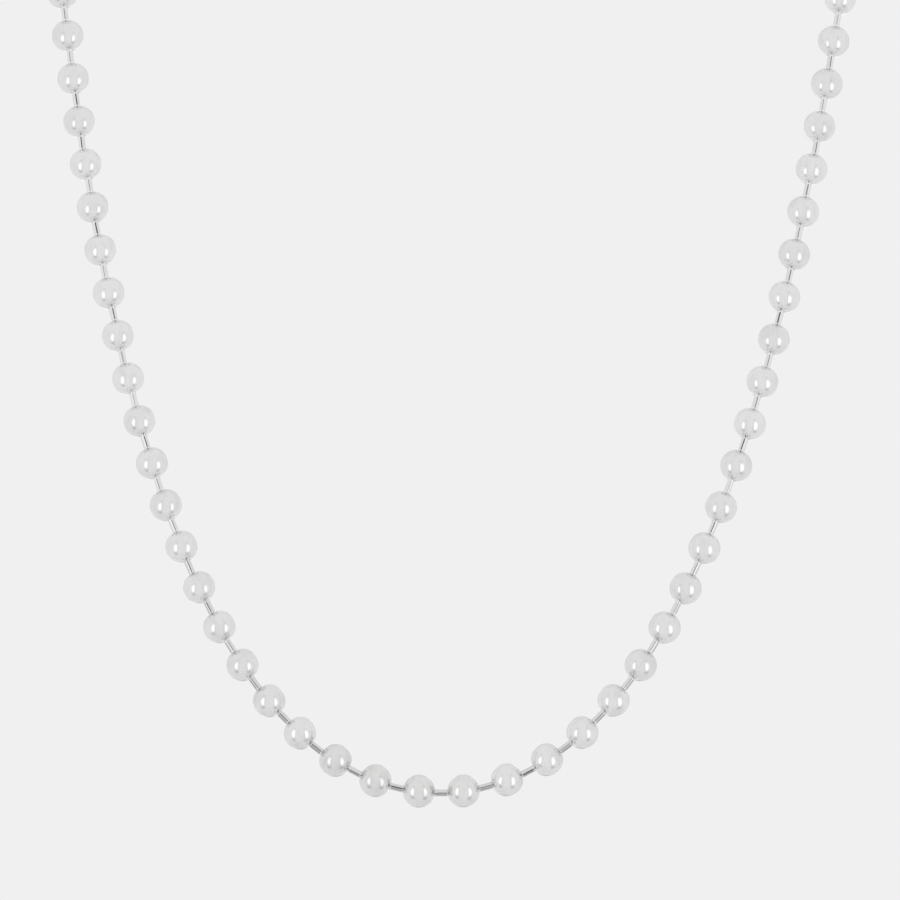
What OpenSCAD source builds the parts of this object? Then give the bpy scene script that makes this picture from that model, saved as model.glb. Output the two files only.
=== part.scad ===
// Ball chain necklace, worn form: hollow balls joined by dumbbell bars and closed
// by a slotted sleeve at the nape. Millimetres, +Z up, the front faces -Y.
// The origin is the middle of the chain at the nape, where the neck carries it.

/* [Balls] */
// Outer diameter of each hollow ball
ball_d = 5; // [4.4:0.1:6.5]
// Sheet thickness of a ball
ball_wall = 0.3; // [0.2:0.05:0.4]
// Free gap between one ball and the next at the lowest point of the chain
ball_gap = 1.74; // [1.4:0.02:2.4]
// How much wider the gaps get up the arms, where the chain is pulled tight
arm_stretch = 0.34; // [0:0.02:0.5]
// Length up each arm over which the gaps widen
stretch_len = 150; // [100:5:180]
// How far a ball may lean off the line of the chain, in degrees
ball_lean = 2; // [0:0.5:3]

/* [Link bars] */
// Thickness of the bar that shows between two balls
bar_d = 1; // [0.7:0.05:1.1]
// Clearance all round the bar in a ball's hole
hole_clear = 0.2; // [0.15:0.05:0.3]
// How far a bar's head reaches past the edge of the hole
head_lip = 0.2; // [0.1:0.05:0.3]
// Play between a bar's head and the inside of the ball where the chain is tight
head_play = 0.13; // [0.12:0.01:0.25]

/* [Clasp] */
// Sheet thickness of the clasp's sleeve
clasp_wall = 0.4; // [0.3:0.05:0.8]
// Clearance between the sleeve and the two balls that it holds
clasp_clear = 0.15; // [0.12:0.01:0.3]
// Free gap between the two balls that the sleeve holds
clasp_gap = 2; // [1.5:0.1:3]

/* [Lie of the chain] */
// Length once round the closed necklace, met by the nearest even number of balls
necklace_len = 550; // [500:5:620]
// Bend radius of the chain at its lowest point
bottom_r = 27.1; // [24:0.1:32]
// How much faster the arms straighten than an evenly bent chain
arm_spread = 0.047; // [0.03:0.001:0.09]
// Lean of the front from upright, in degrees
front_lean = 12; // [4:1:20]
// How far the chain has slid round to the right, seen from the front
chain_slide = 0.6; // [0:0.1:2]
// Depth of the neck, from the nape to the tops of the arms
neck_depth = 60; // [50:1:70]
// Height of the nape above the tops of the arms
nape_rise = 32; // [24:1:42]
// How far the chain keeps rising before it turns back over the shoulder
shoulder_reach = 40; // [30:1:50]
// How far round the back of the neck the chain bends evenly
nape_reach = 60; // [45:1:70]

/* [Hidden] */
$fn = 48;
// Length of each integration step along the front
front_step = 1;
// Points along each side curve
side_steps = 60;
// Straight chain left clear past each end of the clasp
nape_margin = 1;
// Turn of the lean from one ball to the next, so that no two neighbours match
lean_turn = 137.5;
// Beat of the lean's size along the chain
lean_beat = 73;
// A direction that the chain never runs in, to measure the lean from
lean_from = [0, 0.6, 0.8];
// Rounds that bring the two halves of the route together at the nape
settle_rounds = 12;
// Overlap of cutting bodies past the faces that they cut
cut = 1;

ball_r = ball_d / 2;
hollow_r = ball_r - ball_wall;
bar_r = bar_d / 2;
hole_r = bar_r + hole_clear;
head_r = hole_r + head_lip;
loose_pitch = ball_d + ball_gap;
tight_pitch = loose_pitch + arm_stretch;
// A bar turns about the middle of the hole that it passes through
pivot_r = (sqrt(pow(ball_r, 2) - pow(hole_r, 2)) + sqrt(pow(hollow_r, 2) - pow(hole_r, 2))) / 2;
// Centre of a head, from the centre of its ball
head_at = hollow_r - head_play - head_r;
bar_len = tight_pitch - 2 * head_at;

clasp_pitch = ball_d + clasp_gap;
clasp_bore_r = ball_r + clasp_clear;
clasp_r = clasp_bore_r + clasp_wall;
clasp_half = clasp_pitch / 2 + clasp_r;
nape_flat = clasp_half + chain_slide + nape_margin;

// Length along the chain from its lowest point to a place u pitches away
stretch_n = stretch_len / loose_pitch;
function reach(u) =
    u * loose_pitch + arm_stretch * (pow(min(u, stretch_n), 2) / (2 * stretch_n) + max(u - stretch_n, 0));

ball_n = 2 * round((necklace_len - clasp_pitch + tight_pitch) / (2 * tight_pitch));
half_len = reach((ball_n - 1) / 2) + clasp_pitch / 2;
loop_len = 2 * half_len;

// Steepness of the front at a length s from its lowest point
function steepness(s) = let (t = s / bottom_r) t * (1 + arm_spread * t);
function climb(s) = atan(steepness(s));

// Half width and height of the front at each step, from its lowest point
front_steps = ceil(half_len / front_step);
front = [
    for (i = 0, x = 0, h = 0; i <= front_steps;
         x = x + front_step * cos(climb((i + 0.5) * front_step)),
         h = h + front_step * sin(climb((i + 0.5) * front_step)),
         i = i + 1)
    [x, h]
];
function front_at(s) =
    let (i = floor(s / front_step), f = s / front_step - i)
    front[i] * (1 - f) + front[i + 1] * f;
// A direction or place in the leaning front, from its width and height
function leaned(p) = [p.x, p.y * sin(front_lean), p.y * cos(front_lean)];

// Side curve from the top of an arm of length s, over the shoulder to the nape
function arm_top(s) = [front_at(s).x, -neck_depth, -nape_rise];
function arm_way(s) = leaned([cos(climb(s)), sin(climb(s))]);
function bezier(a, b, c, d, t) =
    pow(1 - t, 3) * a + 3 * pow(1 - t, 2) * t * b + 3 * (1 - t) * pow(t, 2) * c + pow(t, 3) * d;
function side(s) = [
    for (i = [0 : side_steps])
    bezier(arm_top(s), arm_top(s) + shoulder_reach * arm_way(s),
           [nape_flat + nape_reach, 0, 0], [nape_flat, 0, 0], i / side_steps)
];
function path_len(p, i = 0, sum = 0) =
    i >= len(p) - 1 ? sum : path_len(p, i + 1, sum + norm(p[i + 1] - p[i]));

// Length of each arm at which the two halves of the route meet at the nape
function settle(s, rounds) =
    rounds < 1 ? s : settle(half_len - nape_flat - path_len(side(s)), rounds - 1);
arm_len = settle(half_len / 2, settle_rounds);

front_low = arm_top(arm_len) - leaned(front_at(arm_len));
half_route = concat(
    [for (i = [0 : floor(arm_len / front_step)]) [0, front_low.y, front_low.z] + leaned(front[i])],
    side(arm_len),
    [[0, 0, 0]]
);
// Length along the half route at each of its points
half_marks = [
    for (i = 0, m = 0; i < len(half_route);
         m = i < len(half_route) - 1 ? m + norm(half_route[i + 1] - half_route[i]) : m,
         i = i + 1)
    m
];
function marked(axis) = [for (i = [0 : len(half_route) - 1]) [half_marks[i], half_route[i][axis]]];
marked_x = marked(0);
marked_y = marked(1);
marked_z = marked(2);

// Point of the route at a length s from its lowest point, left of it below zero
function route(s) =
    let (r = s > half_len ? s - loop_len : s < -half_len ? s + loop_len : s)
    [sign(r) * lookup(abs(r), marked_x), lookup(abs(r), marked_y), lookup(abs(r), marked_z)];

function unit(v) = v / norm(v);
function ball_mark(i) = let (u = i - (ball_n - 1) / 2) sign(u) * reach(abs(u)) + chain_slide;
function ball_centre(i) = (route(ball_mark(i) + pivot_r) + route(ball_mark(i) - pivot_r)) / 2;
// Direction of a ball's two holes: along the route, leaned a little to one side
function ball_axis(i) =
    let (
        along = unit(route(ball_mark(i) + pivot_r) - route(ball_mark(i) - pivot_r)),
        aside = unit(cross(along, lean_from)),
        about = cross(along, aside),
        lean = ball_lean * (1 + sin(i * lean_beat)) / 2,
        turn = i * lean_turn
    )
    cos(lean) * along + sin(lean) * (cos(turn) * aside + sin(turn) * about);
function hole_point(i, end) = ball_centre(i) + end * pivot_r * ball_axis(i);

// Moves a shape made along Z to a place, and turns its Z to a direction
module place(at, way) {
    translate(at)
    rotate([0, acos(way.z / norm(way)), atan2(way.y, way.x)])
    children();
}

// A drawn hollow ball with a hole at each end of its axis
module ball() {
    difference() {
        sphere(r = ball_r);
        sphere(r = hollow_r);
        cylinder(h = ball_d + 2 * cut, r = hole_r, center = true);
    }
}

// A bar with a round head at each end, which sits inside a ball
module link_bar() {
    cylinder(h = bar_len, r = bar_r, center = true);
    for (end = [-1, 1])
        translate([0, 0, end * bar_len / 2]) sphere(r = head_r);
}

// A straight round body with domed ends, about the two balls that the clasp holds
module capsule(r) {
    cylinder(h = clasp_pitch, r = r, center = true);
    for (end = [-1, 1])
        translate([0, 0, end * clasp_pitch / 2]) sphere(r = r);
}

module balls() {
    color("silver")
    for (i = [0 : ball_n - 1])
        place(ball_centre(i), ball_axis(i)) ball();
}

module link_bars() {
    color("gainsboro")
    for (i = [0 : ball_n - 2])
        let (from = hole_point(i, 1), to = hole_point(i + 1, -1))
        place((from + to) / 2, to - from) link_bar();
}

// A sleeve open along the side away from the neck, with a window that lets a ball in
module clasp() {
    color("darkgray")
    translate([-chain_slide, 0, 0])
    rotate([0, 90, 0])
    difference() {
        capsule(clasp_r);
        capsule(clasp_bore_r);
        cylinder(h = 2 * (clasp_half + cut), r = hole_r, center = true);
        translate([-hole_r, 0, -clasp_half - cut])
            cube([2 * hole_r, clasp_r + cut, 2 * (clasp_half + cut)]);
        rotate([-90, 0, 0])
            cylinder(h = clasp_r + cut, r = clasp_bore_r);
    }
}

balls();
link_bars();
clasp();
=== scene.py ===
"""Dresses the ball chain necklace: hollow silver balls, the bars that link them, the
clasp at the nape, and the pale studio they are shown in."""

import math
import random

import bpy
import numpy as np
from mathutils import Matrix, Vector


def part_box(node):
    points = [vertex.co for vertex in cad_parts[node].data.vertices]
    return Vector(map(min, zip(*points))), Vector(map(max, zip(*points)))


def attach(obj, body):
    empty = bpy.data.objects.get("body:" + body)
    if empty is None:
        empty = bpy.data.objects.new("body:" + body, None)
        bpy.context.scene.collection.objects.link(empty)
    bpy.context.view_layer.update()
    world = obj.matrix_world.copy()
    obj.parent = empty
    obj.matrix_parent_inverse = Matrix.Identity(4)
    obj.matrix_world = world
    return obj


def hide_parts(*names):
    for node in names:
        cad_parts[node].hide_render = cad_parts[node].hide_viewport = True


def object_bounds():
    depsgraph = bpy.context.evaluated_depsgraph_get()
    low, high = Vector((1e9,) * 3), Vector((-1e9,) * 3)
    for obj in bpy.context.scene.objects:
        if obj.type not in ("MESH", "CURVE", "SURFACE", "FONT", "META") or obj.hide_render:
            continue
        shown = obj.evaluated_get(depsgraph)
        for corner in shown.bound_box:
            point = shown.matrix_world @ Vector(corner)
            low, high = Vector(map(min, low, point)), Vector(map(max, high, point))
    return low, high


bl_info = {
    "name": "Ball Chain Necklace",
    "version": (1, 0, 0),
    "blender": (4, 5, 0),
    "location": "View3D > Sidebar > Necklace",
    "description": "Makes the balls, link bars, clasp and studio around the packed frame",
    "category": "Object",
}

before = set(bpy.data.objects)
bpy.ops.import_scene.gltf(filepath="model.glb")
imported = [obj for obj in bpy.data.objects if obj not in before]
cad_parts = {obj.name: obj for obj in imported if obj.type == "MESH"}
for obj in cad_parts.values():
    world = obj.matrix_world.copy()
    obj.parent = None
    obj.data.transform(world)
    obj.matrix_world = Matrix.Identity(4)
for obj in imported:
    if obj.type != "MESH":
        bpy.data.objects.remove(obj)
CAD_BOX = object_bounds()

MM = 0.001
# Turn from one copy to the next, so that no two neighbours match
GOLDEN_TURN = math.radians(137.5)
# Most that a bar is turned about itself, so that the painted dark reflections along the bars differ
BAR_TURN = math.radians(9)

# How many sides go round each shape, and how many steps along its curves
BALL_SIDES, BALL_STEPS, HOLLOW_STEPS = 32, 14, 7
BAR_SIDES, HEAD_STEPS = 20, 7
CLASP_SIDES, CLASP_STEPS, WINDOW_SIDES = 48, 10, 64

CAMERA_PLACE = (1.05 * MM, -687.16 * MM, -108.47 * MM)
CAMERA_ROLL = math.radians(-0.957)
# In millimetres, as Blender counts lenses
LENS, SENSOR = 159.84, 36

# In metres
FLOOR_RADIUS, FLOOR_DROP = 9, 1.3
# Share of the floor's light that it takes from around it
FLOOR_LIT = 0.35
# Size of a lamp's clear card, of the lamp's height
CARD_SPAN = 3.7

# Depth below the nape from which the chain counts as lowest, in metres
LOWEST = 0.155


# Modelling helpers


def deselect_all():
    bpy.ops.object.select_all(action="DESELECT")


def pick(obj):
    """Makes obj the only selected object, and the active one."""
    deselect_all()
    obj.select_set(True)
    bpy.context.view_layer.objects.active = obj


def remove(obj):
    mesh = obj.data
    bpy.data.objects.remove(obj)
    bpy.data.meshes.remove(mesh)


def points_of(obj):
    """The vertices of a mesh object as an array of rows."""
    places = np.empty(len(obj.data.vertices) * 3, np.float32)
    obj.data.vertices.foreach_get("co", places)
    return places.reshape(-1, 3).astype(float)


def loose_solids(node):
    """The vertices of each separate solid in a CAD node, one array for each solid."""
    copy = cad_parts[node].copy()
    copy.data = copy.data.copy()
    copy.parent = None
    bpy.context.collection.objects.link(copy)
    pick(copy)
    bpy.ops.object.mode_set(mode="EDIT")
    bpy.ops.mesh.select_all(action="SELECT")
    bpy.ops.mesh.remove_doubles(threshold=1e-7)
    bpy.ops.mesh.separate(type="LOOSE")
    bpy.ops.object.mode_set(mode="OBJECT")
    parts = list(bpy.context.selected_objects)
    solids = [points_of(part) for part in parts]
    for part in parts:
        remove(part)
    return solids


def middle(points):
    return Vector((points.min(0) + points.max(0)) / 2)


class Bar:
    """A link bar of the frame: its middle, its direction and its length over the heads."""

    def __init__(self, points):
        self.middle = middle(points)
        spread = np.cov((points - points.mean(0)).T)
        self.way = Vector(np.linalg.eigh(spread)[1][:, -1]).normalized()
        along = points @ np.array(self.way)
        self.length = float(along.max() - along.min())


class Chain:
    """Where the frame's balls and bars are, in order round the loop."""

    def __init__(self):
        balls = loose_solids("balls")
        self.ball_radius = float(max(np.ptp(ball, axis=0).max() for ball in balls)) / 2
        self.bars = [Bar(points) for points in loose_solids("link_bars")]
        self.bars.sort(key=lambda bar: self.turn_about(bar.middle))
        self.balls = sorted((middle(ball) for ball in balls), key=self.turn_about)
        self.bar_length = sum(bar.length for bar in self.bars) / len(self.bars)

    @staticmethod
    def turn_about(place):
        """The angle of a place round the middle of the loop, seen from the front."""
        low, high = CAD_BOX
        return math.atan2(place.x, (low.z + high.z) / 2 - place.z)

    def hole_axis(self, ball, pivot):
        """The direction of a ball's holes, each where a bar passes at pivot from its middle."""
        holes = []
        for bar in self.bars:
            apart = bar.middle - ball
            if apart.length > bar.length:
                continue
            # Where the bar's middle line meets a sphere of radius pivot round the ball
            half = apart.dot(bar.way)
            inside = half * half - apart.length_squared + pivot * pivot
            if inside < 0:
                continue
            steps = (-half - math.sqrt(inside), -half + math.sqrt(inside))
            holes.append(bar.middle + min(steps, key=abs) * bar.way)
        if not holes:
            raise RuntimeError("A ball has no bar in it")
        start = holes[1] if len(holes) > 1 else ball
        return (holes[0] - start).normalized()


chain = Chain()


def clasp_form():
    """The middle of the clasp's sleeve, its outer radius and half its length."""
    low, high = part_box("clasp")
    radius = (high.z - low.z) / 2
    # The slot cuts the sleeve's box short on its far side
    centre = Vector(((low.x + high.x) / 2, low.y + radius, (low.z + high.z) / 2))
    return centre, radius, (high.x - low.x) / 2


def start_ring(name, sides, radius, height, filled=False):
    """A ring round Z at a height, open in edit mode, which turned shapes grow from."""
    deselect_all()
    bpy.ops.mesh.primitive_circle_add(
        vertices=sides,
        radius=radius,
        fill_type="NGON" if filled else "NOTHING",
        location=(0, 0, height),
    )
    obj = bpy.context.object
    obj.name = name
    bpy.ops.object.transform_apply(location=True)
    bpy.ops.object.mode_set(mode="EDIT")
    bpy.ops.mesh.select_mode(type="EDGE")
    bpy.ops.mesh.select_all(action="SELECT")
    return obj


def grow_ring(here, there):
    """Extrudes the selected ring from one station to the next, each a (radius, height)."""
    bpy.ops.mesh.extrude_edges_move(
        TRANSFORM_OT_translate={"value": (0, 0, there[1] - here[1])}
    )
    grow = there[0] / here[0]
    bpy.ops.transform.resize(value=(grow, grow, 1), center_override=(0, 0, there[1]))


def select_rings(obj, stations, slack=1e-7):
    """Selects the edges whose two ends both lie on one of the stations."""
    bpy.ops.mesh.select_all(action="DESELECT")
    bpy.ops.object.mode_set(mode="OBJECT")
    mesh = obj.data

    def station_of(vertex):
        for number, (radius, height) in enumerate(stations):
            if abs(vertex.co.xy.length - radius) < slack and abs(vertex.co.z - height) < slack:
                return number
        return None

    found = [station_of(vertex) for vertex in mesh.vertices]
    for edge in mesh.edges:
        a, b = (found[i] for i in edge.vertices)
        edge.select = a is not None and a == b
    bpy.ops.object.mode_set(mode="EDIT")


def turned(name, sides, stations, closed=False):
    """A shape turned round Z through its (radius, height) stations. A closed one is a ring
    in section, and joins its last station to its first; any other is capped at both ends."""
    obj = start_ring(name, sides, *stations[0], filled=not closed)
    for here, there in zip(stations, stations[1:]):
        grow_ring(here, there)
    if closed:
        select_rings(obj, (stations[0], stations[-1]))
        bpy.ops.mesh.bridge_edge_loops()
    else:
        bpy.ops.mesh.edge_face_add()
    bpy.ops.mesh.select_all(action="SELECT")
    bpy.ops.mesh.normals_make_consistent(inside=False)
    bpy.ops.object.mode_set(mode="OBJECT")
    return obj


def arc(radius, start, end, steps, centre=(0, 0)):
    """Stations on a circle in the section, from one angle to another, measured from Z."""
    return [
        (
            centre[0] + radius * math.sin(math.radians(start + (end - start) * i / steps)),
            centre[1] + radius * math.cos(math.radians(start + (end - start) * i / steps)),
        )
        for i in range(steps + 1)
    ]


def keep_place(obj, unit):
    """Stores each vertex's own place on the template, in units, for patterns that follow it."""
    attribute = obj.data.attributes.new("own_place", "FLOAT_VECTOR", "POINT")
    attribute.data.foreach_set("vector", (points_of(obj) / unit).astype(np.float32).ravel())


def copied(template, places, name, seed):
    """One piece out of copies of a template, each with its own mesh and its own tone."""
    chance = random.Random(seed)
    copies = []
    for place in places:
        copy = template.copy()
        copy.data = template.data.copy()
        copy.data.transform(place)
        tone = copy.data.attributes.new("own_tone", "FLOAT", "POINT")
        tone.data.foreach_set("value", [chance.random()] * len(copy.data.vertices))
        under = copy.data.attributes.new("own_under", "FLOAT", "POINT")
        under.data.foreach_set("value", [-normal.vector.z for normal in copy.data.vertex_normals])
        bpy.context.collection.objects.link(copy)
        copies.append(copy)
    remove(template)
    pick(copies[0])
    for copy in copies:
        copy.select_set(True)
    bpy.ops.object.join()
    piece = bpy.context.object
    piece.name = name
    bpy.ops.object.shade_smooth()
    return piece


def put_on_frame(piece, finish, node):
    """Gives a piece its finish, hangs it on the root body, and hides the CAD node that it stands
    for.
    """
    piece.data.materials.clear()
    piece.data.materials.append(finish)
    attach(piece, "root")
    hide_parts(node)


# Shader helpers


class Value:
    """A number that varies over a surface, for sums in Python."""

    def __init__(self, tree, socket):
        self.tree, self.socket = tree, socket

    def math(self, operation, *others):
        return self.tree.math(operation, self, *others)

    def __add__(self, other):
        return self.math("ADD", other)

    __radd__ = __add__

    def __sub__(self, other):
        return self.math("SUBTRACT", other)

    def __rsub__(self, other):
        return self.tree.math("SUBTRACT", other, self)

    def __mul__(self, other):
        return self.math("MULTIPLY", other)

    __rmul__ = __mul__

    def __truediv__(self, other):
        return self.math("DIVIDE", other)

    def __rtruediv__(self, other):
        return self.tree.math("DIVIDE", other, self)

    def __abs__(self):
        return self.math("ABSOLUTE")

    def step(self, start, end):
        """Goes smoothly from 0 to 1 as the value goes from start to end."""
        return self.tree.node(
            "ShaderNodeMapRange",
            {"interpolation_type": "SMOOTHSTEP"},
            {"Value": self, "From Min": start, "From Max": end},
        )


class Tree:
    """The node tree of a material or world, and short ways to add to it."""

    def __init__(self, owner):
        owner.use_nodes = True
        self.nodes, self.links = owner.node_tree.nodes, owner.node_tree.links
        self.nodes.clear()

    def node(self, kind, settings=None, inputs=None, output=0):
        """Adds a node, sets it, feeds its sockets, and gives one of its outputs."""
        made = self.nodes.new(kind)
        for key, value in (settings or {}).items():
            setattr(made, key, value)
        for key, value in (inputs or {}).items():
            socket = made.inputs[key]
            if isinstance(value, Value):
                self.links.new(value.socket, socket)
            else:
                socket.default_value = value
        return Value(self, made.outputs[output]) if len(made.outputs) else None

    def math(self, operation, *values):
        return self.node("ShaderNodeMath", {"operation": operation}, dict(enumerate(values)))

    def mix(self, share, a, b):
        """A colour between a and b."""
        return self.node(
            "ShaderNodeMix",
            {"data_type": "RGBA", "clamp_factor": True},
            {"Factor": share, 6: a, 7: b},
            output=2,
        )

    def axis(self, vector, letter):
        return self.node("ShaderNodeSeparateXYZ", None, {"Vector": vector}, output=letter)

    def noise(self, place, scale, detail, stretch=(1, 1, 1)):
        """Cloudy noise, finer as scale grows, drawn out along an axis whose stretch is small."""
        if stretch != (1, 1, 1):
            place = self.node("ShaderNodeMapping", None, {"Vector": place, "Scale": stretch})
        return self.node(
            "ShaderNodeTexNoise", None, {"Vector": place, "Scale": scale, "Detail": detail}
        )

    def place(self):
        """The place on the piece, in metres."""
        return self.node("ShaderNodeTexCoord", output="Object")

    def own(self, name, output="Fac"):
        """A value stored on the mesh, such as the place on the ball's own template."""
        return self.node(
            "ShaderNodeAttribute",
            {"attribute_type": "GEOMETRY", "attribute_name": name},
            output=output,
        )


def rgb(level):
    """A neutral colour for a socket."""
    return (level, level, level, 1)


def opaque(colour):
    """A colour setting as the four numbers that a socket takes."""
    return tuple(colour) + (1,)


# Colour of the painted highlights on the balls and bars
PAINTED_HIGHLIGHT = rgb(0.97)


def low_down(tree, place, start):
    """Grows from 0 at a depth below the nape to 1 where the chain counts as lowest."""
    return (0 - tree.axis(place, "Z")).step(start, LOWEST)


def metal(tree, colour, roughness, height, depth, edge, bare=1.0):
    """Finishes a metal with its varying colour, roughness and fine relief. It is bare
    metal all over unless bare says where a dull film covers it."""
    relief = tree.node("ShaderNodeBump", None, {"Height": height, "Distance": depth})
    shader = tree.node(
        "ShaderNodeBsdfPrincipled",
        None,
        {
            "Base Color": colour,
            "Metallic": bare,
            "Roughness": roughness,
            "Specular Tint": edge,
            "Normal": relief,
        },
    )
    tree.node("ShaderNodeOutputMaterial", None, {"Surface": shader})


def ball_silver(settings):
    """Polished drawn silver: bright, a little cloudy, with a fine seam from hole to hole, and dull
    inside.
    Painted highlights lie round the holes and over the hollow of the lowest balls, and a painted
    dark reflection lies towards the ends of the lowest balls."""
    finish = bpy.data.materials.new("ball_silver")
    tree = Tree(finish)
    place = tree.place()
    own = tree.own("own_place", "Vector")
    tone = tree.own("own_tone")
    across, aside, along = (tree.axis(own, letter) for letter in "XYZ")
    depth = tree.node("ShaderNodeVectorMath", {"operation": "LENGTH"}, {0: own}, "Value")
    # Own places are in ball radii, and the hollow's surface lies at 0.88
    inside = 1 - depth.step(0.9, 0.94)
    seam = (1 - abs(aside).step(0.0, 0.035)) * across.step(0.0, 0.1)
    cloud = tree.noise(place, 420, 3)
    smear = tree.noise(place, 1500, 2, (1, 1, 0.25))
    polish = tree.noise(place, 9000, 2, (1, 1, 0.15))
    # Painted dark reflection: the lowest balls are darker towards their ends, in cloudy patches, and
    # each a little darker at random
    low = low_down(tree, place, 0.12)
    painted_end_reflection = low * (abs(along).step(0.15, 0.5) * cloud.step(0.3, 0.7) * 0.085 + tone * 0.04)
    patchy = cloud.step(0.45, 0.7) * 0.085 + smear.step(0.45, 0.7) * 0.055
    dark = inside * (0.3 - low * 0.3) + seam * 0.12 + patchy + tone * 0.05 + painted_end_reflection
    # Painted highlight round the holes, and painted light over the hollow of the lowest balls
    ends = abs(along).step(0.84, 0.96)
    painted_light = tree.math("MAXIMUM", ends, inside * low) * (0.6 + low * 0.4)
    silver = tree.mix(painted_light, opaque(settings.colour), PAINTED_HIGHLIGHT)
    colour = tree.mix(dark, silver, opaque(settings.tarnish))
    roughness = settings.roughness + inside * 0.2 + cloud * 0.03 + smear.step(0.45, 0.8) * 0.04
    # In millimetres: drawing leaves each ball a little out of true
    dents = tree.noise(place, 300, 1)
    height = dents * 0.07 + polish * 0.0004 + smear * 0.0008 - seam * 0.0015
    metal(tree, colour, roughness, height, MM, rgb(settings.edge))
    return finish


def bar_silver(settings):
    """Polished wire with a painted dark reflection along its front and painted highlights beside it
    and on its ends.
    The lowest bars get painted shade on their underside and are darker all over."""
    finish = bpy.data.materials.new("bar_silver")
    tree = Tree(finish)
    place = tree.place()
    own = tree.own("own_place", "Vector")
    tone = tree.own("own_tone")
    facing = (0 - tree.axis(own, "Y")).step(0.0, 0.1)
    # Outwards is away from the middle of the chain
    outer = tree.axis(own, "X") * tree.math("SIGN", tree.axis(place, "X"))
    # Painted highlight on each end of the bar, where it meets the balls; between is the rest of the
    # bar
    between = 1 - abs(tree.axis(own, "Z")).step(0.82, 1.0)
    # Each bar has its own painted dark reflection along the side facing out, from a fine dark line
    # to a broad faint band
    spread = tree.math("FRACT", tone * 7.3)
    wander = (tree.noise(place, 900, 1) - 0.5) * 0.07
    low = low_down(tree, place, 0.105) * between
    offset = abs(outer + 0.09 + wander - low * 0.06)
    # The painted dark reflection along the front of the bar
    seam = (1 - (offset / (0.045 + spread * 0.065)).step(0.4, 1.3)) * facing
    depth = (1 - spread * 0.3) * (0.56 + tone * 0.9) * between
    # A painted highlight runs along the outer side of the painted dark line, and another lies on the
    # ends
    strip = outer.step(-0.03, 0.04) * (1 - outer.step(0.22, 0.38)) * facing * (0.5 + tone * 0.5)
    strip = strip * (1 - low * 0.8)
    painted_light = tree.math("MAXIMUM", strip, 1 - between)
    draw = tree.noise(own, 9, 3, (1, 1, 0.06))
    cloud = tree.noise(place, 1300, 2)
    under = tree.own("own_under")
    # Painted shade on the underside of the lowest bars; the lowest bars are also darker all over
    painted_underside_shade = low * under.step(-0.2, 0.3) * (1 - under.step(0.5, 0.8))
    dark = seam * depth * (1 - low * 0.25) + painted_underside_shade * 0.38 + low * 0.08
    dark = dark + cloud * 0.08 + tone * 0.07
    silver = tree.mix(painted_light, opaque(settings.colour), PAINTED_HIGHLIGHT)
    colour = tree.mix(dark, silver, opaque(settings.tarnish))
    roughness = settings.roughness + draw * 0.06 + cloud * 0.05
    metal(tree, colour, roughness, draw, 0.006 * MM, rgb(settings.edge))
    return finish


def clasp_silver(settings):
    """Bent silver sheet, brushed along the sleeve, and dull inside."""
    finish = bpy.data.materials.new("clasp_silver")
    tree = Tree(finish)
    place = tree.place()
    brush = tree.noise(place, 5200, 3, (0.04, 1, 1))
    cloud = tree.noise(place, 380, 3)
    # How far out a point lies, as a share of the sleeve's outer radius
    centre, radius, half = clasp_form()
    aside = [tree.axis(place, letter) - at for letter, at in zip("XYZ", centre)]
    past_middle = tree.math("MAXIMUM", abs(aside[0]) - (half - radius), 0)
    reach = past_middle * past_middle + aside[1] * aside[1] + aside[2] * aside[2]
    inside = 1 - (tree.math("SQRT", reach) / radius).step(0.88, 0.94)
    dark = brush.step(0.4, 0.8) * 0.12 + cloud * 0.14 + inside * 0.1
    colour = tree.mix(dark, opaque(settings.colour), opaque(settings.tarnish))
    roughness = settings.roughness + brush * 0.08 + cloud * 0.05 + inside * 0.3
    metal(tree, colour, roughness, brush, 0.006 * MM, rgb(settings.edge), bare=1 - inside * 0.6)
    return finish


# Sizes and colours


def length(name, text, millimetres):
    return bpy.props.FloatProperty(
        name=name, description=text, default=millimetres * MM, unit="LENGTH", precision=5
    )


def colour(name, text, value):
    return bpy.props.FloatVectorProperty(
        name=name, description=text, default=value, subtype="COLOR", min=0, max=1
    )


def share(name, text, value):
    return bpy.props.FloatProperty(
        name=name, description=text, default=value, subtype="FACTOR", min=0, max=1
    )


def angle(name, text, degrees):
    return bpy.props.FloatProperty(
        name=name, description=text, default=math.radians(degrees), subtype="ANGLE"
    )


def amount(name, text, value):
    return bpy.props.FloatProperty(name=name, description=text, default=value)


class BallSettings(bpy.types.PropertyGroup):
    radius: length("Radius", "Outer radius of a ball", chain.ball_radius / MM)
    wall: length("Wall", "Sheet thickness", 0.3)
    hole: length("Hole", "Radius inside the rolled rim of a hole", 0.535)
    rim: length("Rim", "Radius that the rim of a hole is rolled to", 0.06)
    colour: colour("Silver", "Colour of the polished silver", (0.861, 0.861, 0.859))
    # The dark colour also gives the painted dark reflection towards the ends of the lowest balls
    tarnish: colour("Tarnish", "Colour of the silver that polish can't reach", (0.3, 0.296, 0.288))
    roughness: share("Roughness", "Roughness of the polish", 0.1)
    edge: share("Edge", "How bright the silver is where it turns away", 0.97)


class LinkBarSettings(bpy.types.PropertyGroup):
    radius: length("Radius", "Radius of the wire between two balls", 0.51)
    head: length("Head", "Radius of the heads inside the balls", 0.9)
    colour: colour("Silver", "Colour of the wire", (0.865, 0.864, 0.861))
    # The dark colour gives the painted dark reflection along each bar's front and the painted shade
    # under the lowest bars, as well as the bars' tone
    tarnish: colour("Tarnish", "Colour in the seam", (0.06, 0.059, 0.057))
    roughness: share("Roughness", "Roughness of the wire", 0.1)
    edge: share("Edge", "How bright the wire is where it turns away", 0.95)


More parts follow.
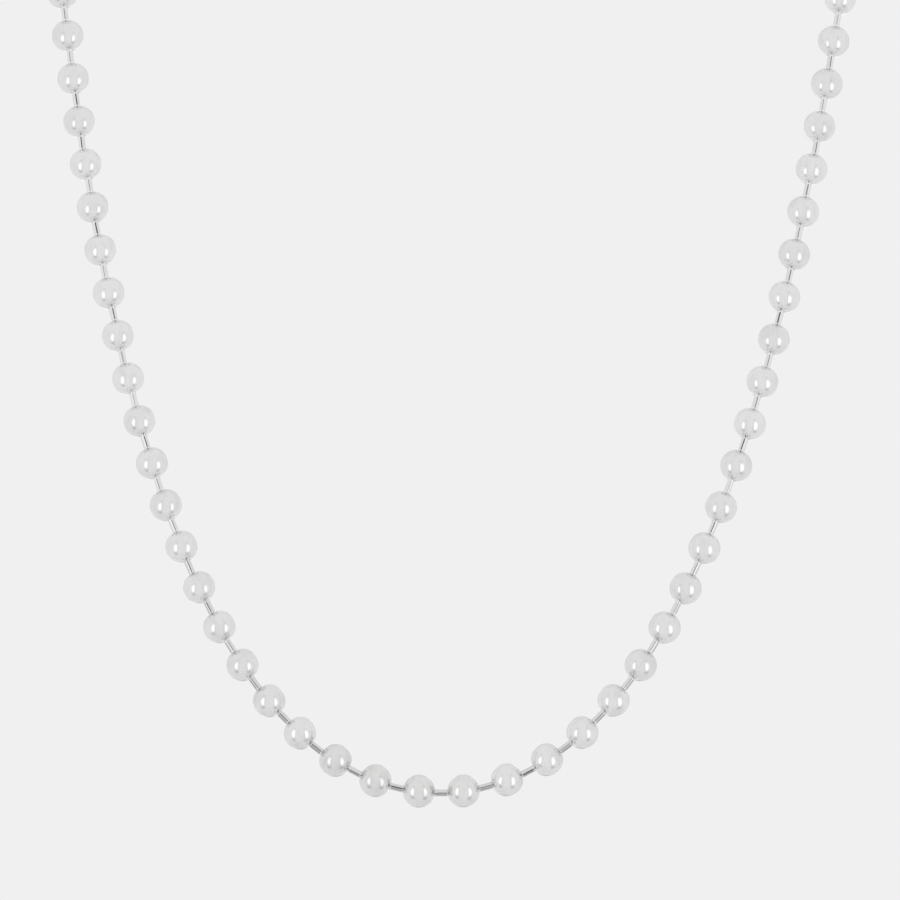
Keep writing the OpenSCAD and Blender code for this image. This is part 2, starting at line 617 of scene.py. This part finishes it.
class ClaspSettings(bpy.types.PropertyGroup):
    wall: length("Wall", "Sheet thickness", 0.4)
    slot: length("Slot", "Half width of the slot that a bar slides along", 0.7)
    window: length("Window", "Radius of the window that lets a ball in", 2.65)
    edge_round: length("Rounding", "Rounding of the sheet's edges", 0.09)
    colour: colour("Silver", "Colour of the sheet", (0.8, 0.797, 0.79))
    tarnish: colour("Tarnish", "Colour in the brush marks", (0.32, 0.316, 0.308))
    roughness: share("Roughness", "Roughness of the sheet", 0.16)
    edge: share("Edge", "How bright the sheet is where it turns away", 0.92)


class StageSettings(bpy.types.PropertyGroup):
    paper: share("Paper", "How bright the tent of white paper is", 0.871)
    lamp_side: angle("Lamp side", "How far each strip lamp stands to the side of the camera", 46)
    lamp_far: length("Lamp distance", "From the necklace", 310)
    lamp_low: length("Lamp height", "Of the middle of the left lamp", -170)
    lamp_drop: length("Lamp drop", "How much lower the right lamp hangs", 14)
    lamp_size: bpy.props.FloatVectorProperty(
        name="Lamp size", description="Width and height of the bright middle",
        default=(0.1215, 0.257), size=2, unit="LENGTH",
    )
    right_lamp: amount("Right lamp size", "Of the left lamp's size", 1.13)
    lamp_lean: angle("Lamp lean", "How far the tops of the lamps lean towards each other", 8)
    lamp_glow: amount("Lamp glow", "How bright the middle of a lamp is", 1.3)
    stand: share("Stand", "How bright the dim parts round a lamp are", 0.58)
    back_side: angle("Back lamp side", "How far round each of the two back lamps stands", 166)
    back_size: amount("Back lamp size", "Of the front lamps' size and distance", 2.2)
    back_slim: share("Back lamp width", "Of the front lamps' width, for their size", 0.6)
    back_share: share("Back lamps", "Their strength, of the front lamps' strength", 0.65)
    shade: share("Shade", "How much darker the paper is behind and below", 0.045)


# The pieces and the stage


class NECKLACE_OT_balls(bpy.types.Operator):
    """Makes the hollow balls, each with a rounded hole at either end of its axis"""

    bl_idname = "necklace.balls"
    bl_label = "Balls"

    def execute(self, context):
        sizes = context.scene.necklace_balls
        radius, hole, rim, wall = sizes.radius, sizes.hole, sizes.rim, sizes.wall
        hollow = radius - wall
        # Each rim rolls from the outside of the ball into its hole on a small quarter round
        outer_edge = math.degrees(math.asin((hole + rim) / radius))
        top = math.sqrt(radius**2 - (hole + rim) ** 2)
        inner_edge = math.degrees(math.asin(hole / hollow))
        roll = [
            (hole + rim * (1 - math.sin(turn)), top - rim * (1 - math.cos(turn)))
            for turn in map(math.radians, (30, 60, 90))
        ]
        outside = arc(radius, outer_edge, 180 - outer_edge, BALL_STEPS)
        inside = arc(hollow, 180 - inner_edge, inner_edge, HOLLOW_STEPS)
        stations = outside + [(r, -h) for r, h in roll] + inside + roll[::-1]
        ball = turned("ball", BALL_SIDES, stations, closed=True)
        keep_place(ball, radius)

        pivot = (math.sqrt(radius**2 - hole**2) + math.sqrt(hollow**2 - hole**2)) / 2
        places = []
        for number, centre in enumerate(chain.balls):
            axis = chain.hole_axis(centre, pivot)
            spin = Matrix.Rotation(number * GOLDEN_TURN, 4, "Z")
            turn = axis.to_track_quat("Z", "X").to_matrix().to_4x4()
            places.append(Matrix.Translation(centre) @ turn @ spin)
        piece = copied(ball, places, "ball_chain_balls", seed=11)
        put_on_frame(piece, ball_silver(sizes), "balls")
        return {"FINISHED"}


class NECKLACE_OT_link_bars(bpy.types.Operator):
    """Makes the bars whose heads sit inside the balls"""

    bl_idname = "necklace.link_bars"
    bl_label = "Link bars"

    def execute(self, context):
        sizes = context.scene.necklace_bars
        wire, head = sizes.radius, sizes.head
        at = chain.bar_length / 2 - head
        # The head is a ball upset from the wire, with a short neck where the two meet
        neck = 180 - math.degrees(math.asin(1.25 * wire / head))
        end = arc(head, 12, neck, HEAD_STEPS, centre=(0, at))
        neck_height = end[-1][1]
        wire_height = neck_height - 0.4 * MM
        half = end + [
            (1.08 * wire, neck_height - 0.16 * MM),
            (wire, wire_height),
            (wire, wire_height / 2),
        ]
        stations = half + [(wire * 0.99, 0)] + [(r, -h) for r, h in reversed(half)]
        bar = turned("bar", BAR_SIDES, stations)
        keep_place(bar, MM)

        places = []
        for number, bar_at in enumerate(chain.bars):
            spin = Matrix.Rotation(BAR_TURN * math.sin(number * GOLDEN_TURN), 4, "Z")
            turn = self.facing_out(bar_at) @ spin
            places.append(Matrix.Translation(bar_at.middle) @ turn)
        piece = copied(bar, places, "ball_chain_link_bars", seed=5)
        put_on_frame(piece, bar_silver(sizes), "link_bars")
        return {"FINISHED"}

    @staticmethod
    def facing_out(bar):
        """Turns Z along a bar, and -Y to the side that faces away from the neck."""
        low, high = CAD_BOX
        # Forwards on the front and backwards at the nape, and a little out to the side
        away = Vector((bar.middle.x / 10, bar.middle.y - (low.y + high.y) / 3, 0))
        along = bar.way if bar.way.z > 0 else -bar.way
        side = along.cross(away).normalized()
        return Matrix((side, along.cross(side), along)).transposed().to_4x4()


class NECKLACE_OT_clasp(bpy.types.Operator):
    """Makes the sleeve that closes the chain, with its slot and its window"""

    bl_idname = "necklace.clasp"
    bl_label = "Clasp"

    def execute(self, context):
        sizes = context.scene.necklace_clasp
        centre, radius, half = clasp_form()
        # The domes end at the hole that a bar leaves through
        dome = math.sqrt(radius**2 - sizes.slot**2)
        middle_half = half - dome
        mouth = math.degrees(math.asin(sizes.slot / radius))
        stations = arc(radius, mouth, 90, CLASP_STEPS, centre=(0, middle_half))
        stations += [
            (radius, middle_half * (1 - 2 * i / CLASP_STEPS)) for i in range(1, CLASP_STEPS)
        ]
        stations += arc(radius, 90, 180 - mouth, CLASP_STEPS, centre=(0, -middle_half))
        sleeve = start_ring("ball_chain_clasp", CLASP_SIDES, *stations[0])
        for here, there in zip(stations, stations[1:]):
            grow_ring(here, there)

        # The slot runs along the side that becomes the outside of the necklace
        for side in (-1, 1):
            bpy.ops.mesh.select_all(action="SELECT")
            bpy.ops.mesh.bisect(plane_co=(side * sizes.slot, 0, 0), plane_no=(1, 0, 0))
        bpy.ops.mesh.select_mode(type="FACE")
        bpy.ops.mesh.select_all(action="DESELECT")
        bpy.ops.object.mode_set(mode="OBJECT")
        for face in sleeve.data.polygons:
            face.select = face.center.y > 0 and abs(face.center.x) < sizes.slot
        bpy.ops.object.mode_set(mode="EDIT")
        bpy.ops.mesh.delete(type="FACE")
        bpy.ops.mesh.select_all(action="SELECT")
        bpy.ops.mesh.remove_doubles(threshold=1e-7)
        bpy.ops.mesh.normals_make_consistent(inside=False)
        bpy.ops.object.mode_set(mode="OBJECT")

        def apply(kind, **settings):
            modifier = sleeve.modifiers.new(kind.title(), kind)
            for key, value in settings.items():
                setattr(modifier, key, value)
            pick(sleeve)
            bpy.ops.object.modifier_apply(modifier=modifier.name)

        apply("SOLIDIFY", thickness=sizes.wall, offset=-1, use_even_offset=True)
        deselect_all()
        bpy.ops.mesh.primitive_cylinder_add(
            vertices=WINDOW_SIDES, radius=sizes.window, depth=2 * radius, location=(0, radius, 0),
            rotation=(math.radians(90), 0, 0),
        )
        punch = bpy.context.object
        apply("BOOLEAN", object=punch, operation="DIFFERENCE", solver="EXACT")
        remove(punch)
        apply(
            "BEVEL", width=sizes.edge_round, segments=2, limit_method="ANGLE",
            angle_limit=math.radians(40), use_clamp_overlap=True,
        )
        # From its own Z to along the chain, with its slot away from the neck
        sleeve.data.transform(
            Matrix.Translation(centre) @ Matrix.Rotation(math.radians(90), 4, "Y")
        )
        pick(sleeve)
        bpy.ops.object.shade_smooth_by_angle(angle=math.radians(35))
        put_on_frame(sleeve, clasp_silver(sizes), "clasp")
        return {"FINISHED"}


class NECKLACE_OT_stage(bpy.types.Operator):
    """Sets the camera, the soft lamps, the tent of white paper and the floor"""

    bl_idname = "necklace.stage"
    bl_label = "Stage"

    def execute(self, context):
        scene = context.scene
        stage = scene.necklace_stage
        scene.view_settings.view_transform = "Standard"

        camera = bpy.data.objects.new("camera", bpy.data.cameras.new("camera"))
        scene.collection.objects.link(camera)
        camera.location = CAMERA_PLACE
        camera.rotation_euler = (math.radians(90), CAMERA_ROLL, 0)
        camera.data.sensor_width = SENSOR
        camera.data.lens = LENS
        camera.data.clip_end = 100
        scene.camera = camera

        world = bpy.data.worlds.new("tent")
        scene.world = world
        tree = Tree(world)
        # Paper seen past the necklace is plain; from there outwards it falls a little darker
        behind = tree.axis(tree.node("ShaderNodeTexCoord", output="Generated"), "Y")
        ring = behind.step(0.5, 0.8) * (1 - behind.step(0.96, 0.985))
        paper = tree.mix(ring, rgb(stage.paper), rgb(stage.paper * (1 - stage.shade)))
        light = tree.node("ShaderNodeBackground", None, {"Color": paper})
        tree.node("ShaderNodeOutputWorld", None, {"Surface": light})

        for side in (-1, 1):
            grown = stage.right_lamp if side > 0 else 1
            wide, tall = (size * grown for size in stage.lamp_size)
            self.lamp(stage, side, stage.lamp_side, stage.lamp_far, wide, tall, 1)
            self.lamp(
                stage, side, stage.back_side, stage.lamp_far * stage.back_size,
                wide * stage.back_size * stage.back_slim, tall * stage.back_size,
                stage.back_share,
            )
        self.floor(stage)
        return {"FINISHED"}

    def lamp(self, stage, side, turn, far, wide, tall, strength):
        """A soft strip lamp to one side, which only reflections see. It is one card, clear
        where it doesn't glow and isn't dimmed by what holds the lamp."""
        low = stage.lamp_low - (stage.lamp_drop if side > 0 else 0)
        chest = Vector((0, CAD_BOX[0].y, low))
        towards = Vector((side * math.sin(turn), -math.cos(turn), 0))
        finish = bpy.data.materials.new("lamp")
        tree = Tree(finish)
        place = tree.place()
        # Shares of the lamp's width and height. Outwards is away from the camera's own line
        out, up = tree.axis(place, "X") * (side / wide), tree.axis(place, "Y") / tall

        def oval(at, reach):
            """How far out a point lies in an oval, 1 at its edge."""
            across, along = (out - at[0]) / reach[0], (up - at[1]) / reach[1]
            return tree.math("SQRT", across * across + along * along)

        # The lamp fades further out than in
        across, along = (out - abs(out) * 0.15) * 2, up * 2
        lit = 1 - tree.math("SQRT", across * across + along * along).step(0.6, 1.35)
        # Its stand dims the paper below it, and less so above it and on its inner side
        dim = 1 - oval((0.14, -1), (1.34, 0.73)).step(0, 1)
        for at, reach in (((0, 0.83), (0.77, 0.37)), ((-0.67, 0), (0.32, 1))):
            dim = tree.math("MAXIMUM", dim, (1 - oval(at, reach).step(0.1, 1)) * 0.3)

        clear = tree.node("ShaderNodeBsdfTransparent")
        bright = tree.node("ShaderNodeEmission", None, {"Color": rgb(stage.lamp_glow)})
        grey = tree.node("ShaderNodeEmission", None, {"Color": rgb(stage.stand)})
        dimmed = tree.node("ShaderNodeMixShader", None, {0: dim * strength, 1: clear, 2: grey})
        both = tree.node("ShaderNodeMixShader", None, {0: lit * strength, 1: dimmed, 2: bright})
        tree.node("ShaderNodeOutputMaterial", None, {"Surface": both})

        deselect_all()
        bpy.ops.mesh.primitive_plane_add(size=tall * CARD_SPAN)
        card = bpy.context.object
        card.name = f"lamp_{'left' if side < 0 else 'right'}_{math.degrees(turn):.0f}"
        card.matrix_world = (
            Matrix.Translation(chest + towards * far)
            @ towards.to_track_quat("Z", "Y").to_matrix().to_4x4()
            @ Matrix.Rotation(stage.lamp_lean * side, 4, "Z")
        )
        card.data.materials.append(finish)
        card.visible_camera = False

    def floor(self, stage):
        """A wide pale floor, far below the necklace. It glows like the tent, less so near
        its middle, and takes the rest of its light from around it."""
        finish = bpy.data.materials.new("paper")
        tree = Tree(finish)
        away = tree.node("ShaderNodeVectorMath", {"operation": "LENGTH"}, {0: tree.place()}, "Value")
        middle_level = stage.paper * (1 - 2 * stage.shade)
        inner, outer = (rgb(level * (1 - FLOOR_LIT)) for level in (middle_level, stage.paper))
        own = tree.mix(away.step(0.3, 1.9), inner, outer)
        glow = tree.node("ShaderNodeEmission", None, {"Color": own})
        taken = tree.node("ShaderNodeBsdfDiffuse", None, {"Color": rgb(FLOOR_LIT)})
        both = tree.node("ShaderNodeAddShader", None, {0: glow, 1: taken})
        tree.node("ShaderNodeOutputMaterial", None, {"Surface": both})

        deselect_all()
        bpy.ops.mesh.primitive_circle_add(
            vertices=96, radius=FLOOR_RADIUS, fill_type="NGON", location=(0, 0, -FLOOR_DROP)
        )
        floor = bpy.context.object
        floor.name = "floor"
        floor.data.materials.append(finish)


class NECKLACE_PT_panel(bpy.types.Panel):
    """Lists the necklace's pieces and its stage"""

    bl_idname = "NECKLACE_PT_panel"
    bl_label = "Necklace"
    bl_space_type = "VIEW_3D"
    bl_region_type = "UI"
    bl_category = "Necklace"

    def draw(self, context):
        for operator in OPERATORS:
            self.layout.operator(operator.bl_idname)


OPERATORS = (
    NECKLACE_OT_stage,
    NECKLACE_OT_balls,
    NECKLACE_OT_link_bars,
    NECKLACE_OT_clasp,
)
SETTINGS = {
    "necklace_balls": BallSettings,
    "necklace_bars": LinkBarSettings,
    "necklace_clasp": ClaspSettings,
    "necklace_stage": StageSettings,
}


def register():
    for name, group in SETTINGS.items():
        bpy.utils.register_class(group)
        setattr(bpy.types.Scene, name, bpy.props.PointerProperty(type=group))
    for operator in OPERATORS:
        bpy.utils.register_class(operator)
    bpy.utils.register_class(NECKLACE_PT_panel)


def unregister():
    bpy.utils.unregister_class(NECKLACE_PT_panel)
    for operator in reversed(OPERATORS):
        bpy.utils.unregister_class(operator)
    for name, group in reversed(SETTINGS.items()):
        delattr(bpy.types.Scene, name)
        bpy.utils.unregister_class(group)


def main():
    register()
    bpy.ops.necklace.stage()
    bpy.ops.necklace.balls()
    bpy.ops.necklace.link_bars()
    bpy.ops.necklace.clasp()


if __name__ == "__main__":
    main()
